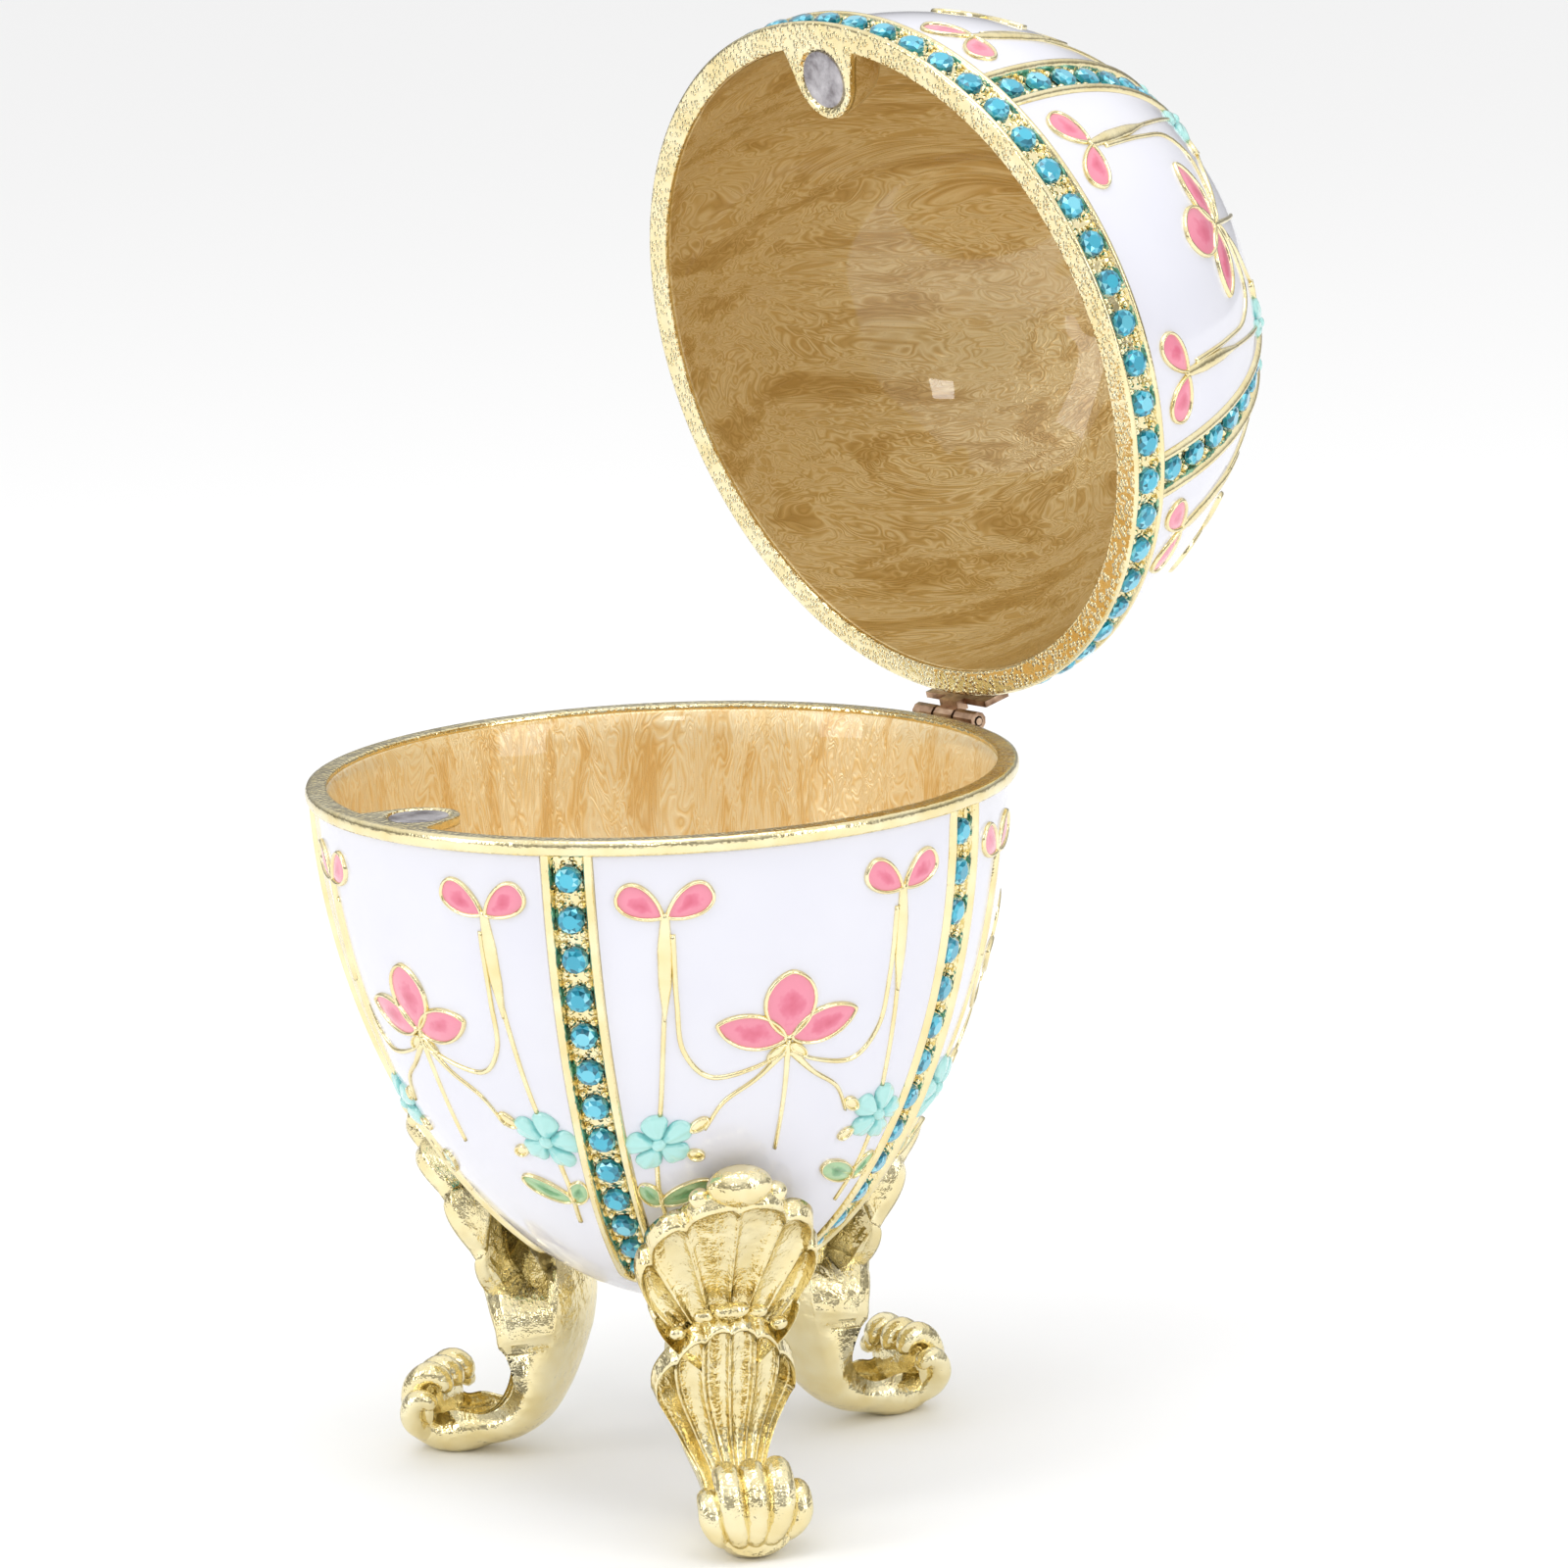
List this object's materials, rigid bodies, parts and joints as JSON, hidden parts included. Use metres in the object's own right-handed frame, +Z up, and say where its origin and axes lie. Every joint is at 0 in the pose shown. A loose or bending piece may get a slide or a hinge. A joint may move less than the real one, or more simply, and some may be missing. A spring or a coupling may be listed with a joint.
{
  "type": "egg trinket box",
  "caption": "Jewelled enamel egg trinket box on scrolled shell feet, its domed lid open on a small back hinge, ribs of round stones and a honey enamel lining.",
  "frame": {"origin": "on the ground under the middle of the box as it stands open", "axes": "+Z up, +Y towards the hinge, -Y towards the magnets at the front, +X along the hinge"},
  "size_m": [0.0616, 0.0906, 0.1234],
  "materials": {
    "enamel": "glossy white enamel on cast zinc alloy",
    "gold": "polished pale gold plating with cast texture",
    "stone": "faceted turquoise rhinestone",
    "magnet": "dull nickel",
    "hinge_brass": "aged bronze",
    "lining": "pearly honey enamel under a clear coat",
    "pink_enamel": "glossy pink enamel",
    "turquoise_enamel": "glossy pale turquoise enamel",
    "green_enamel": "glossy green enamel"
  },
  "bodies": {
    "base": {"bowl_shell": "enamel", "bowl_stones_1": "stone", "bowl_stones_2": "stone", "bowl_stones_3": "stone", "bowl_stones_4": "stone", "bowl_stones_5": "stone", "bowl_magnet": "magnet", "leg_back": "gold", "leg_front_left": "gold", "leg_front_right": "gold", "hinge_leaf_bowl": "hinge_brass", "hinge_pin": "hinge_brass"},
    "lid": {"lid_shell": "enamel", "lid_rim_stones": "stone", "lid_stones_1": "stone", "lid_stones_2": "stone", "lid_stones_3": "stone", "lid_stones_4": "stone", "lid_stones_5": "stone", "lid_magnet": "magnet", "hinge_leaf_lid": "hinge_brass"}
  },
  "joints": [
    {"name": "lid_hinge", "type": "hinge", "parent": "base", "child": "lid", "pos_m": [0, 0.01691, 0.0611], "axis": [1, 0, 0], "range_deg": [0, 77.5]}
  ]
}
